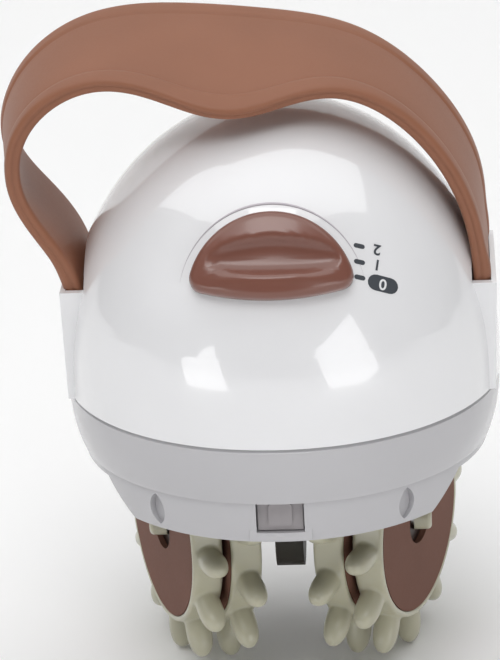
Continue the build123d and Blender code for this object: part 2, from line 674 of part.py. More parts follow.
with BuildPart() as gearbox_right:
    with BuildSketch(Plane.YZ.offset(LEG_SPLIT)):
        add(leg_outline(0))
    extrude(amount=LEG_HALF - LEG_SPLIT)
    with BuildSketch(Plane.YZ.offset(LEG_SPLIT)):
        add(box_outline(0))
    extrude(amount=BOX_RIGHT - LEG_SPLIT)
    with BuildSketch(Plane.YZ.offset(LEG_SPLIT)):
        add(leg_outline(1.4))
    extrude(amount=-2 * LEG_SPLIT, mode=Mode.SUBTRACT)
    with BuildSketch(Plane.YZ.offset(LEG_SPLIT)):
        add(box_outline(GEAR_WALL))
    extrude(amount=BOX_RIGHT - GEAR_WALL - LEG_SPLIT, mode=Mode.SUBTRACT)
    # screw posts in the box corners
    with BuildSketch(Plane.YZ.offset(LEG_SPLIT)):
        with Locations(*box_screws):
            Circle(2.7)
    extrude(amount=BOX_RIGHT - LEG_SPLIT - 0.4)
    with BuildSketch(Plane.YZ.offset(LEG_SPLIT)):
        with Locations(*box_screws):
            Circle(1.1)
    extrude(amount=8.0, mode=Mode.SUBTRACT)
    # shaft bush seat, short axle seats, long axle seats and motor hole
    with BuildSketch(Plane.YZ):
        with Locations(shaft_at):
            Circle(5.0)
    extrude(amount=LEG_HALF + 1, mode=Mode.SUBTRACT)
    with BuildSketch(Plane.YZ):
        with Locations(*fixed_axles):
            Circle(AXLE_R)
    extrude(amount=3.5, mode=Mode.SUBTRACT)
    with BuildSketch(Plane.YZ.offset(6)):
        with Locations(*long_axles):
            Circle(AXLE_R)
    extrude(amount=7.0, mode=Mode.SUBTRACT)
    with BuildSketch(Plane.YZ.offset(10)):
        with Locations(motor_at):
            Circle(3.2)
        with Locations(*motor_holes):
            Circle(1.0)
    extrude(amount=5.0, mode=Mode.SUBTRACT)
finish("gearbox_right", gearbox_right.part)

with BuildPart() as gearbox_left:
    with BuildSketch(Plane.YZ.offset(-LEG_HALF)):
        add(leg_outline(0))
        add(box_outline(0))
    extrude(amount=LEG_HALF + LEG_SPLIT)
    with BuildSketch(Plane.YZ.offset(-LEG_HALF - 1)):
        with Locations(shaft_at):
            Circle(5.0)
        with Locations(*box_screws):
            Circle(1.4)
    extrude(amount=3.0, mode=Mode.SUBTRACT)
    with BuildSketch(Plane.YZ.offset(-3.6)):
        with Locations(*fixed_axles, *long_axles):
            Circle(AXLE_R)
    extrude(amount=3.0, mode=Mode.SUBTRACT)
finish("gearbox_left", gearbox_left.part)

with BuildPart() as gear_axles:
    with BuildSketch(Plane.YZ.offset(-3.5)):
        with Locations(*fixed_axles):
            Circle(AXLE_R - 0.01)
    extrude(amount=6.9)
    with BuildSketch(Plane.YZ.offset(-3.5)):
        with Locations(*long_axles):
            Circle(AXLE_R - 0.01)
    extrude(amount=16.3)
finish("gear_axles", gear_axles.part)

with BuildPart() as gearbox_screws:
    with BuildSketch(Plane.YZ.offset(-LEG_HALF)):
        with Locations(*box_screws):
            Circle(1.1)
    extrude(amount=9.0)
    with BuildSketch(Plane.YZ.offset(-LEG_HALF)):
        with Locations(*box_screws):
            Circle(2.2)
    extrude(amount=-1.5)
finish("gearbox_screws", gearbox_screws.part)

# ---------------------------------------------------------------- motor
MOTOR_X = BOX_RIGHT

with BuildPart() as motor_can:
    with BuildSketch(Plane.YZ.offset(MOTOR_X)):
        with Locations(motor_at):
            Circle(MOTOR_R)
    extrude(amount=MOTOR_LEN - 2)
    with BuildSketch(Plane.YZ.offset(MOTOR_X + 1.2)):
        with Locations(motor_at):
            Circle(MOTOR_R - 1.2)
    extrude(amount=MOTOR_LEN, mode=Mode.SUBTRACT)
    with BuildSketch(Plane.YZ.offset(MOTOR_X - 1.5)):
        with Locations(motor_at):
            Circle(3.1)
            Circle(1.06, mode=Mode.SUBTRACT)
    extrude(amount=2.7)
    with BuildSketch(Plane.YZ.offset(MOTOR_X)):
        with Locations(motor_at):
            Circle(1.06)
        with Locations(*motor_holes):
            Circle(1.0)
    extrude(amount=2, mode=Mode.SUBTRACT)
finish("motor_can", motor_can.part)

with BuildPart() as motor_screws:
    for x, length, radius in ((BOX_RIGHT - GEAR_WALL - 1.1, 1.1, 1.9),
                              (BOX_RIGHT - GEAR_WALL, GEAR_WALL + 1.6, 1.0)):
        with BuildSketch(Plane.YZ.offset(x)):
            with Locations(*motor_holes):
                Circle(radius)
        extrude(amount=length)
finish("motor_screws", motor_screws.part)

with BuildPart() as motor_magnets:
    with BuildSketch(Plane.YZ.offset(MOTOR_X + 4)):
        with Locations(motor_at):
            Circle(MOTOR_R - 1.2)
            Circle(MOTOR_R - 3.2, mode=Mode.SUBTRACT)
            Rectangle(4, 30, mode=Mode.SUBTRACT)
    extrude(amount=20)
finish("motor_magnets", motor_magnets.part)

with BuildPart() as motor_end_cap:
    with BuildSketch(Plane.YZ.offset(MOTOR_X + MOTOR_LEN - 2)):
        with Locations(motor_at):
            Circle(MOTOR_R)
            Circle(1.06, mode=Mode.SUBTRACT)
    extrude(amount=2)
finish("motor_end_cap", motor_end_cap.part)

with BuildPart() as motor_armature:
    with BuildSketch(Plane.YZ.offset(SECOND_X - 0.2)):
        with Locations(motor_at):
            Circle(1.0)
    extrude(amount=MOTOR_X + MOTOR_LEN - 0.6 - SECOND_X)
    with BuildSketch(Plane.YZ.offset(MOTOR_X + 5)):
        with Locations(motor_at):
            Circle(8.2)
            with PolarLocations(5.6, 3):
                Circle(1.6, mode=Mode.SUBTRACT)
    extrude(amount=16)
    with BuildSketch(Plane.YZ.offset(MOTOR_X + 21)):
        with Locations(motor_at):
            Circle(3.2)
    extrude(amount=5)
finish("motor_armature", motor_armature.part)

# ---------------------------------------------------------------- roller shaft
SHAFT_END = 40.0
CAP_START, CAP_END, CAP_R = 36.4, 41.6, 4.1

with BuildPart() as roller_shaft:
    with BuildSketch(Plane.YZ.offset(-SHAFT_END)):
        with Locations(shaft_at):
            Circle(SHAFT_R)
    extrude(amount=2 * SHAFT_END)
finish("roller_shaft", roller_shaft.part)

with BuildPart() as shaft_bushes:
    for side in (-1, 1):
        with BuildSketch(Plane.YZ.offset(side * 2.3)):
            with Locations(shaft_at):
                Circle(5.0)
                Circle(SHAFT_R + 0.05, mode=Mode.SUBTRACT)
        extrude(amount=side * (LEG_HALF - 2.3))
finish("shaft_bushes", shaft_bushes.part)

with BuildPart() as shaft_collars:
    for side in (-1, 1):
        with BuildSketch(Plane.YZ.offset(side * (LEG_HALF + 0.4))):
            with Locations(shaft_at):
                Circle(5.6)
                Circle(SHAFT_R, mode=Mode.SUBTRACT)
        extrude(amount=side * 9.0)
finish("shaft_collars", shaft_collars.part)

with BuildPart() as shaft_end_caps:
    for side in (-1, 1):
        with BuildSketch(Plane.YZ.offset(side * CAP_START)):
            with Locations(shaft_at):
                Circle(CAP_R)
        extrude(amount=side * (CAP_END - CAP_START))
    ends = shaft_end_caps.faces().filter_by(Axis.X).filter_by(lambda f: abs(f.center().X) > CAP_END - 1)
    fillet(ends.edges(), 1.4)
    for side in (-1, 1):
        with BuildSketch(Plane.YZ.offset(side * 30)):
            with Locations(shaft_at):
                Circle(SHAFT_R)
        extrude(amount=side * (SHAFT_END - 30), mode=Mode.SUBTRACT)
finish("shaft_end_caps", shaft_end_caps.part)

# ---------------------------------------------------------------- four oblique wheels
HUB_R = 25.6
COVER_T = 1.9

with BuildPart() as finger:
    with BuildSketch(Plane.XY.offset(RING_R - 1.6)):
        Ellipse(FINGER_THICK / 2, FINGER_WIDE / 2)
    extrude(amount=TIP_R - RING_R + 1.6)
    fillet(finger.faces().sort_by(Axis.Z)[-1].edges(), FINGER_ROUND)
finger_along_x = Rot(0, 90, 0) * finger.part     # it points along +X, wide along Y
finger_piece = Rot(90, 0, 0) * finger_along_x    # wide along the wheel's own axis


def wheel_plane(x):
    """Plane of one wheel: its z_dir is the wheel's outward axis."""
    side = 1 if x > 0 else -1
    tilt = radians(WHEEL_TILT)
    return Plane(origin=(x, 0, SHAFT_Z), x_dir=(0, 0, -1),
                 z_dir=(side * cos(tilt), -sin(tilt), 0))


def shaft_bore(x):
    """Cutter for the straight shaft, and the seat of its end cap, in an oblique wheel."""
    side = 1 if x > 0 else -1
    seat = Pos(side * (CAP_START + 10), 0, SHAFT_Z) * Rot(0, 90, 0) * Cylinder(CAP_R, 20)
    return Pos(x, 0, SHAFT_Z) * Rot(0, 90, 0) * Cylinder(SHAFT_R, 40) + seat


wheels = {"outer_left": -OUTER_WHEEL_X, "inner_left": -INNER_WHEEL_X,
          "inner_right": INNER_WHEEL_X, "outer_right": OUTER_WHEEL_X}
half_t = WHEEL_T / 2

for wheel_name, wheel_x in wheels.items():
    place = wheel_plane(wheel_x)
    bore = shaft_bore(wheel_x)
    start = 0 if "outer" in wheel_name else FULL / FINGERS / 2

    with BuildPart() as finger_ring:
        with BuildSketch(Plane.XZ):
            Polygon((HUB_R, -half_t), (RING_R, -half_t), (RING_R, half_t),
                    (DISC_R + 0.05, half_t), (DISC_R + 0.05, half_t - COVER_T - 0.1),
                    (HUB_R, half_t - COVER_T - 0.1), align=None)
        revolve(axis=Axis.Z)
        with PolarLocations(0, FINGERS, start_angle=start):
            add(finger_piece)
    finish(f"finger_ring_{wheel_name}", place.location * finger_ring.part)

    with BuildPart() as hub:
        with BuildSketch(Plane.XY.offset(-half_t)):
            Circle(HUB_R - 0.02)
            with PolarLocations(16.0, 6):
                Circle(4.6, mode=Mode.SUBTRACT)
        extrude(amount=WHEEL_T - COVER_T - 0.1)
    finish(f"hub_{wheel_name}", (place.location * hub.part) - bore)

    with BuildPart() as cover_disc:
        with BuildSketch(Plane.XY.offset(half_t - COVER_T)):
            Circle(DISC_R)
            Circle(HUB_HOLE_R, mode=Mode.SUBTRACT)
        extrude(amount=COVER_T - 0.1)
    finish(f"cover_disc_{wheel_name}", place.location * cover_disc.part)

# ---------------------------------------------------------------- battery pack
cell_tops = CELL_Z + CELL_LEN

with BuildPart() as battery_cells:
    with BuildSketch(Plane.XY.offset(CELL_Z)):
        with Locations(*CELLS):
            Circle(CELL_R)
    extrude(amount=CELL_LEN - 1.2)
    with BuildSketch(Plane.XY.offset(cell_tops - 1.2)):
        with Locations(*CELLS):
            Circle(2.7)
    extrude(amount=1.2)
finish("battery_cells", battery_cells.part)

PLATE_T = 0.4
pack_low, pack_high = CELL_Z - 2.6, cell_tops + PLATE_T

with BuildPart() as battery_cradle:
    with BuildSketch(Plane.XY.offset(WELL_Z + WELL_T)):
        with Locations(*CELLS):
            Circle(CELL_R + 1.8)
        with BuildLine():
            Polyline(*CELLS, (24, 24.5), (16, 27.6), (-16, 27.6), (-24, 24.5), CELLS[0])
        make_face()
    extrude(amount=pack_high + 1.6 - WELL_Z - WELL_T)
    # bores for the cells, open to the rear so that they lift out
    with BuildSketch(Plane.XY.offset(pack_low)):
        with Locations(*CELLS):
            Circle(CELL_R + 0.25)
            Rectangle(2 * CELL_R + 0.5, 14, align=(Align.CENTER, Align.MIN))
    extrude(amount=pack_high - pack_low, mode=Mode.SUBTRACT)
    # stay clear of the gearbox and inside the shell
    with BuildSketch(Plane.XY):
        with Locations((4.7, 10)):
            Rectangle(22, 34)
    extrude(amount=90, mode=Mode.SUBTRACT)
    add(dome_solid(WALL + 2.7), mode=Mode.INTERSECT)
finish("battery_cradle", battery_cradle.part)

with BuildPart() as contact_plates:
    for z in (pack_low, cell_tops):
        for pair in (CELLS[:2], CELLS[2:]):
            with BuildSketch(Plane.XY.offset(z)):
                with Locations(*pair):
                    Rectangle(9, 9)
            extrude(amount=PLATE_T)
finish("contact_plates", contact_plates.part)

with BuildPart() as contact_springs:
    for x, y in CELLS:
        with BuildSketch(Plane.XY.offset(pack_low + PLATE_T)):
            with Locations((x, y)):
                Circle(3.4)
                Circle(2.7, mode=Mode.SUBTRACT)
        extrude(amount=2.2)
finish("contact_springs", contact_springs.part)

with BuildPart() as battery_door_screw:
    for y, length, radius in ((61.0, -1.4, 2.8), (61.0, 8.0, 1.45)):
        with BuildSketch(Plane.XZ.offset(-y)):
            with Locations((0, DOOR_SCREW_Z)):
                Circle(radius)
        extrude(amount=length)
    with BuildSketch(Plane.XZ.offset(-61.6)):
        with Locations((0, DOOR_SCREW_Z)):
            Rectangle(3.6, 0.7)
            Rectangle(0.7, 3.6)
    extrude(amount=-2, mode=Mode.SUBTRACT)
finish("battery_door_screw", battery_door_screw.part)
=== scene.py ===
"""Studio picture of a hand-held kneading massager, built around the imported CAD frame."""
import json
import math

import bmesh
import bpy
import numpy as np
from mathutils import Matrix, Vector


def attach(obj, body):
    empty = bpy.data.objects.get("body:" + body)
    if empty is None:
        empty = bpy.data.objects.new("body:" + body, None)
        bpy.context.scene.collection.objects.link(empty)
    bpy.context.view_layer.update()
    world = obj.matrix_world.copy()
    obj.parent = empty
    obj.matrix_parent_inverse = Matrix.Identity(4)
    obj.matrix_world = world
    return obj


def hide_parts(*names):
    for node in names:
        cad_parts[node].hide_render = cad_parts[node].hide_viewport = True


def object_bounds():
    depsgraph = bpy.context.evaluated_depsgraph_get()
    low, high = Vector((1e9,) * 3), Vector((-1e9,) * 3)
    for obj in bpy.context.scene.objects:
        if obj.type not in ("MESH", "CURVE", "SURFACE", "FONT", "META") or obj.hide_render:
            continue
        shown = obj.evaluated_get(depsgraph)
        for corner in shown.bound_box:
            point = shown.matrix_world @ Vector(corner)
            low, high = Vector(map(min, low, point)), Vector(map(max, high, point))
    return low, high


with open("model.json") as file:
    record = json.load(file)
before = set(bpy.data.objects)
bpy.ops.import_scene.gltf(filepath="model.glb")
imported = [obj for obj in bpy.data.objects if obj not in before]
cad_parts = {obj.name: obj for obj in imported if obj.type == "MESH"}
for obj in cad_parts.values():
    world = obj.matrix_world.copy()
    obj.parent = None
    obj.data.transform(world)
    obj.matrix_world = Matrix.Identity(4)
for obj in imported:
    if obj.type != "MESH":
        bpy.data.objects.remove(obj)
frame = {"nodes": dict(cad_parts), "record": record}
cad_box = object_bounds()
nodes = frame["nodes"]
MM = 0.001

# ------------------------------------------------------------------ shared sizes, mm
SEAM_R, ARC_Z, DOME_TOP = 62.5, 36.0, 111.0
ARC_H = DOME_TOP - ARC_Z
SWITCH_Z = 81.7
SHAFT_Z = -17.6
WHEEL_TILT = math.radians(22)
WHEELS = {"outer_left": -33.8, "inner_left": -22.5, "inner_right": 22.5, "outer_right": 33.8}


# ------------------------------------------------------------------ mesh helpers
def clamp(value):
    """The value, held between 0 and 1."""
    return min(1.0, max(0.0, value))


def put_in_scene(obj):
    """Links an object into the scene's own collection."""
    bpy.context.scene.collection.objects.link(obj)


def new_piece(name, verts, faces, body, slot, material, smooth=True):
    """A mesh object in the frame's metres from points in millimetres."""
    mesh = bpy.data.meshes.new(name)
    mesh.from_pydata([tuple(c * MM for c in v) for v in verts], [], faces)
    mesh.validate()
    work = bmesh.new()
    work.from_mesh(mesh)
    bmesh.ops.remove_doubles(work, verts=work.verts, dist=1e-7)
    bmesh.ops.recalc_face_normals(work, faces=work.faces)
    work.to_mesh(mesh)
    work.free()
    obj = bpy.data.objects.new(name, mesh)
    put_in_scene(obj)
    mesh.materials.append(material)
    if smooth:
        mesh.polygons.foreach_set("use_smooth", [True] * len(mesh.polygons))
    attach(obj, body)
    return obj


def apply_modifiers(obj):
    """Bakes an object's modifiers into its mesh."""
    graph = bpy.context.evaluated_depsgraph_get()
    done = bpy.data.meshes.new_from_object(obj.evaluated_get(graph))
    old = obj.data
    obj.modifiers.clear()
    obj.data = done
    bpy.data.meshes.remove(old)


def clamped_spline(points, start, end):
    """Cubic through the points with unit end tangents; returns a function of 0..1."""
    p = np.array(points, float)
    t = np.concatenate([[0], np.cumsum(np.linalg.norm(np.diff(p, axis=0), axis=1))])
    h = np.diff(t)
    n = len(p)
    a, b = np.zeros((n, n)), np.zeros((n, p.shape[1]))
    a[0, 0] = a[-1, -1] = 1
    b[0], b[-1] = start, end
    for i in range(1, n - 1):
        a[i, i - 1], a[i, i], a[i, i + 1] = h[i], 2 * (h[i - 1] + h[i]), h[i - 1]
        b[i] = 3 * (h[i] * (p[i] - p[i - 1]) / h[i - 1] + h[i - 1] * (p[i + 1] - p[i]) / h[i])
    m = np.linalg.solve(a, b)

    def at(s):
        x = s * t[-1]
        i = int(min(max(np.searchsorted(t, x) - 1, 0), n - 2))
        u = (x - t[i]) / h[i]
        return ((2 * u ** 3 - 3 * u ** 2 + 1) * p[i] + (u ** 3 - 2 * u ** 2 + u) * h[i] * m[i]
                + (3 * u ** 2 - 2 * u ** 3) * p[i + 1] + (u ** 3 - u ** 2) * h[i] * m[i + 1])

    return at


def tube(rings):
    """Vertices and quads of a tube, open at its ends, through equal rings of points."""
    n = len(rings[0])
    verts = [v for ring in rings for v in ring]
    quads = [(k * n + i, k * n + (i + 1) % n, (k + 1) * n + (i + 1) % n, (k + 1) * n + i)
             for k in range(len(rings) - 1) for i in range(n)]
    return verts, quads


def capped_tube(rings):
    """A tube with a flat face over each end."""
    verts, faces = tube(rings)
    n = len(rings[0])
    return verts, faces + [tuple(reversed(range(n))), tuple(range(len(verts) - n, len(verts)))]


def fanned_tube(rings, first, last):
    """A tube with each end closed by triangles that meet in a point."""
    verts, faces = tube(rings)
    n = len(rings[0])
    top = len(verts) - n
    for i in range(n):
        j = (i + 1) % n
        faces += [(j, i, len(verts)), (top + i, top + j, len(verts) + 1)]
    return verts + [first, last], faces


# ------------------------------------------------------------------ materials
CLOUD_SCALE, BUMP_DEPTH = 38.0, 0.00005


def srgb(r, g, b):
    """Linear colour from 8-bit sRGB values."""
    def one(c):
        c /= 255
        return c / 12.92 if c <= 0.04045 else ((c + 0.055) / 1.055) ** 2.4
    return one(r), one(g), one(b), 1.0


def shade(colour, factor):
    """The colour made darker or lighter by a factor."""
    return [min(1, c * factor) for c in colour[:3]] + [1]


def add_node(tree, kind, **inputs):
    """A new shader node; an underscore in an input's name stands for a space."""
    made = tree.nodes.new("ShaderNode" + kind)
    for name, value in inputs.items():
        made.inputs[name.replace("_", " ")].default_value = value
    return made


def painted_edge_highlight(tree, colour_out, colour, edge_highlight):
    """Painted highlight: mixes a lighter colour in where the mesh is most pointed, standing in for the
    light that sharp edges catch.
    """
    geometry = add_node(tree, "NewGeometry")
    edge = add_node(tree, "ValToRGB")
    edge.color_ramp.elements[0].position = 0.5
    edge.color_ramp.elements[1].position = 0.62
    tree.links.new(geometry.outputs["Pointiness"], edge.inputs["Fac"])
    scaled = add_node(tree, "Math")
    scaled.operation = "MULTIPLY"
    scaled.inputs[1].default_value = edge_highlight
    tree.links.new(edge.outputs["Color"], scaled.inputs[0])
    mix = add_node(tree, "Mix")
    mix.data_type = "RGBA"
    mix.inputs["B"].default_value = shade(colour, 1.5)
    tree.links.new(scaled.outputs[0], mix.inputs["Factor"])
    tree.links.new(colour_out, mix.inputs["A"])
    return mix.outputs["Result"]


def moulded(name, colour, rough, coat=0.0, coat_rough=0.1, metal=0.0, tint=0.06, grain=900.0,
            bump=0.05, sub=0.0, sub_radius=(0.002, 0.0012, 0.0008), edge_highlight=0.0,
            coat_ior=1.5, ior=1.46):
    """Moulded plastic, rubber or metal: slight mottling, fine grain and uneven gloss."""
    mat = bpy.data.materials.new(name)
    mat.use_nodes = True
    tree = mat.node_tree
    tree.nodes.clear()
    out = add_node(tree, "OutputMaterial")
    shader = add_node(tree, "BsdfPrincipled", Metallic=metal, IOR=ior, Coat_Weight=coat,
                      Coat_Roughness=coat_rough, Coat_IOR=coat_ior)
    tree.links.new(shader.outputs[0], out.inputs[0])
    coords = add_node(tree, "TexCoord")
    cloud = add_node(tree, "TexNoise", Scale=CLOUD_SCALE, Detail=5.0)
    tree.links.new(coords.outputs["Object"], cloud.inputs["Vector"])
    ramp = add_node(tree, "ValToRGB")
    low, high = ramp.color_ramp.elements
    low.position, low.color = 0.3, shade(colour, 1 - tint)
    high.position, high.color = 0.7, shade(colour, 1 + tint)
    tree.links.new(cloud.outputs["Fac"], ramp.inputs["Fac"])
    colour_out = ramp.outputs["Color"]
    # painted highlight on the sharpest edges, when its strength is not zero
    if edge_highlight:
        colour_out = painted_edge_highlight(tree, colour_out, colour, edge_highlight)
    tree.links.new(colour_out, shader.inputs["Base Color"])
    fine = add_node(tree, "TexNoise", Scale=grain, Detail=3.0)
    tree.links.new(coords.outputs["Object"], fine.inputs["Vector"])
    gloss = add_node(tree, "MapRange", To_Min=rough * 0.85, To_Max=min(1.0, rough * 1.15))
    tree.links.new(fine.outputs["Fac"], gloss.inputs["Value"])
    tree.links.new(gloss.outputs[0], shader.inputs["Roughness"])
    if bump:
        relief = add_node(tree, "Bump", Strength=bump, Distance=BUMP_DEPTH)
        tree.links.new(fine.outputs["Fac"], relief.inputs["Height"])
        tree.links.new(relief.outputs[0], shader.inputs["Normal"])
    if sub:
        shader.inputs["Subsurface Weight"].default_value = sub
        shader.inputs["Subsurface Radius"].default_value = sub_radius
        shader.inputs["Subsurface Scale"].default_value = 1.0
    return mat


WHITE = moulded("white_shell", srgb(236, 236, 238), 0.2, coat=1.0, coat_ior=1.6, coat_rough=0.02,
                tint=0.012, grain=260, bump=0.02)
# white plastic of the base ring, greyed as painted shade: the lower body gets less of the light from
# above
SHADED_BASE = moulded("white_base_painted_shade", srgb(190, 189, 192), 0.24, coat=0.35, coat_rough=0.06, tint=0.015,
               grain=300, bump=0.03)
LATCH = moulded("grey_latch", srgb(152, 147, 149), 0.36, coat=0.2, coat_rough=0.2, tint=0.05)
WELL = moulded("dark_bay", srgb(58, 54, 46), 0.5, tint=0.1)
STEEL = moulded("screw_steel", srgb(186, 186, 184), 0.3, metal=1.0, tint=0.05, grain=1400)
# the strap's sharpest edges get a painted highlight: a lighter colour standing in for the light caught
# along them
STRAP = moulded("strap_rubber", srgb(145, 97, 74), 0.5, ior=1.35, coat=0.06, coat_rough=0.35,
                tint=0.05, grain=1500, bump=0.12, sub=0.05, edge_highlight=0.25)
KNOB = moulded("knob_rubber", srgb(122, 76, 63), 0.36, coat=0.55, coat_rough=0.14, tint=0.04,
               grain=1600, bump=0.08, sub=0.04)
DARK = moulded("black_plastic", srgb(40, 38, 37), 0.45, tint=0.08)
BOARD = moulded("board_green", srgb(40, 92, 52), 0.4, coat=0.3, tint=0.1)
BRASS = moulded("brass_metal", srgb(196, 160, 92), 0.3, metal=1.0)
GEAR = moulded("gear_nylon", srgb(222, 218, 204), 0.4, tint=0.03, sub=0.05)
CREAM = moulded("finger_cream", srgb(188, 185, 163), 0.3, coat=0.45, coat_rough=0.16, tint=0.04,
                grain=1100, bump=0.05, sub=0.12, sub_radius=(0.0025, 0.0020, 0.0012))
HUB = moulded("hub_brown", srgb(52, 37, 32), 0.4, tint=0.08)
DISC = moulded("disc_brown", srgb(122, 87, 75), 0.6, ior=1.2, tint=0.05, grain=1300, bump=0.08)
CELL = moulded("cell_sleeve", srgb(92, 98, 106), 0.25, coat=0.5, tint=0.08)
INK = moulded("print_ink", srgb(66, 70, 76), 0.5, tint=0.08, bump=0.0)
# painted shadow of the knob track's recess, a slightly darker white
TRACK_SHADOW = moulded("track_shade", srgb(196, 190, 197), 0.35, tint=0.03, bump=0.0)

BY_SLOT = {"shell": WHITE, "base": SHADED_BASE, "latch": LATCH, "well": WELL, "steel": STEEL,
           "strap": STRAP, "knob": KNOB, "dark": DARK, "board": BOARD, "brass": BRASS,
           "gear": GEAR, "cream": CREAM, "hub": HUB, "disc": DISC, "cell": CELL}
for entry in frame["record"]["subparts"]:
    obj = nodes[entry["node"]]
    obj.data.materials.clear()
    obj.data.materials.append(BY_SLOT[entry["material_slot"]])


# ------------------------------------------------------------------ dome surface
def dome_r(z):
    """Radius of the dome skin at a height."""
    return SEAM_R * math.sqrt(max(0.0, 1 - ((z - ARC_Z) / ARC_H) ** 2))


switch_y = -dome_r(SWITCH_Z)
lean = math.atan2((SWITCH_Z - ARC_Z) / ARC_H ** 2, -switch_y / SEAM_R ** 2)
SWITCH = Vector((0, switch_y, SWITCH_Z))
NORMAL = Vector((0, -math.cos(lean), math.sin(lean)))
UPHILL = Vector((0, math.sin(lean), math.cos(lean)))


def on_dome(x, v, lift=0.0):
    """Point `lift` mm above the dome skin, over (x, v) of the switch's tangent plane."""
    p = SWITCH + Vector((x, 0, 0)) + UPHILL * v
    a, b = SEAM_R + lift, ARC_H + lift
    k = (1 / a ** 2, 1 / a ** 2, 1 / b ** 2)
    q = Vector((p.x, p.y, p.z - ARC_Z))
    qa = sum(k[i] * NORMAL[i] ** 2 for i in range(3))
    qb = 2 * sum(k[i] * NORMAL[i] * q[i] for i in range(3))
    qc = sum(k[i] * q[i] ** 2 for i in range(3)) - 1
    h = (-qb + math.sqrt(qb * qb - 4 * qa * qc)) / (2 * qa)
    return p + NORMAL * h


# ------------------------------------------------------------------ hand strap
STRAP_T, STRAP_RINGS, STEP = 4.4, 220, 1e-3
ROOT_X, ROOT_TOP, ROOT_LOW, SOCKET_TOP = 57.4, 60.0, 46.0, 62.0
FRONT, REAR = -18.0, 22.0
EDGE = {
    FRONT: ((-63.6, 74), (-72.2, 90.5), (-70.8, 105.7), (-52.5, 120.7), (-28, 120.8),
            (-3.4, 118.6), (19.2, 118), (43.3, 101.9), (54.8, 79.4)),
    REAR: ((-66, 78), (-77.9, 95.8), (-74.1, 113.2), (-52.3, 130.5), (-23.8, 132.7),
           (-1.2, 130.4), (21.6, 125.1), (44.8, 106.9), (56.2, 85)),
}
edge_line = {y: clamped_spline([(-ROOT_X, ROOT_LOW), (-ROOT_X, ROOT_TOP), *EDGE[y],
                                (ROOT_X, ROOT_TOP), (ROOT_X, ROOT_LOW)], (0, 1), (0, -1))
             for y in (FRONT, REAR)}
# the lobe that droops from the front edge, and the height from which it shows
LOBE_AT, LOBE_WIDE, LOBE_OUT, LOBE_DROP = -13.0, 21.0, 7.0, 5.0
LOBE_LOW, LOBE_FADE, LOBE_REACH = 98, 12, 0.55
# extra thickness by the socket: how much, from where below its top, held and faded over
FLARE, FLARE_BELOW, FLARE_HOLD, FLARE_FADE = 0.7, 0.3, 2.5, 9.0
# this near to the middle, the strap's outer side is its upper one
CROWN_X = 40


def strap_point(s, w):
    """Middle surface of the strap: s along it, w from the front edge to the rear."""
    f, r = edge_line[FRONT](s), edge_line[REAR](s)
    x, z = f * (1 - w) + r * w
    above = clamp((z - LOBE_LOW) / LOBE_FADE)
    lobe = math.exp(-((f[0] - LOBE_AT) / LOBE_WIDE) ** 2) * above
    y = FRONT * (1 - w) + REAR * w - LOBE_OUT * lobe * (1 - w)
    return np.array((x, y, z - LOBE_DROP * lobe * max(0.0, 1 - w / LOBE_REACH) ** 1.6))


def strap_profile(width, half):
    """Closed cross-section as (distance from the front edge, height) pairs."""
    rim = [(0.28, -0.30), (0.50, 0.0), (0.28, 0.30), (0.12, 0.75), (0.22, 1.25), (0.62, 1.75),
           (1.25, 2.08), (2.1, half), (3.4, half + 0.02), (4.8, half), (5.7, half - 0.06),
           (6.15, half - 0.30), (6.6, half - 0.50), (7.2, half - 0.44), (8.2, half - 0.36)]
    flat = [(width * k / 8, half - 0.30) for k in range(3, 6)]
    top = rim + flat + [(width - d, h) for d, h in reversed(rim)]
    under = [(0.22, -1.25), (0.7, -1.8), (1.4, -2.1), (2.6, -half)]
    low = [(width - d, h) for d, h in under] + [(width * k / 6, -half) for k in (4, 3, 2)]
    return top + low + list(reversed(under))


def root_flare(z):
    """Extra thickness of the strap where it leaves its socket."""
    rise = clamp(z - SOCKET_TOP + FLARE_BELOW)
    fall = clamp((z - SOCKET_TOP - FLARE_HOLD) / FLARE_FADE)
    return FLARE * rise * (1 - fall * fall * (3 - 2 * fall))


def strap_ring(s):
    """Cross-section of the strap at s along it, as points in space."""
    front, rear = strap_point(s, 0), strap_point(s, 1)
    width = float(np.linalg.norm(rear - front))
    flare = 1 + 2 * root_flare((front[2] + rear[2]) / 2) / STRAP_T
    ring = []
    for d, h in strap_profile(width, STRAP_T / 2):
        w = d / width
        here = strap_point(s, w)
        along = strap_point(min(1, s + STEP), w) - strap_point(max(0, s - STEP), w)
        across = strap_point(s, min(1, w + STEP)) - strap_point(s, max(0, w - STEP))
        out = np.cross(along, across)
        out /= np.linalg.norm(out)
        if out[2] < 0 and abs(here[0]) < CROWN_X:
            out = -out
        ring.append(here + out * (h * flare if h > 0 else h))
    return ring


strap_mesh = capped_tube([strap_ring(k / STRAP_RINGS) for k in range(STRAP_RINGS + 1)])
strap = new_piece("hand_strap_band", *strap_mesh, "housing", "strap", STRAP)
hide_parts("hand_strap")

# ------------------------------------------------------------------ switch knob
HALF, RISE, DROP = 22.4, 17.5, 7.1
MIDDLE = -(RISE - DROP) / 2
TIP, TIP_FAN, SHARP_TURN = 4.2, 9, 0.5
KNOB_H, REAR_FALL = 4.3, 0.36
EDGE_DEPTH, EDGE_WIDE = 2.0, 1.8
SKIRT = (0.55, 1.4)
# the hollow for the fingertip, and the ridge along its lower side
HOLLOW_X, HOLLOW_V, HOLLOW_HALF, HOLLOW_UP, HOLLOW_DOWN = 1.0, 4.2, 18.2, 5.6, 5.4
HOLLOW_DEPTH, RIDGE_AT, RIDGE_WIDE, RIDGE_H = 3.1, -1.12, 0.42, 0.75
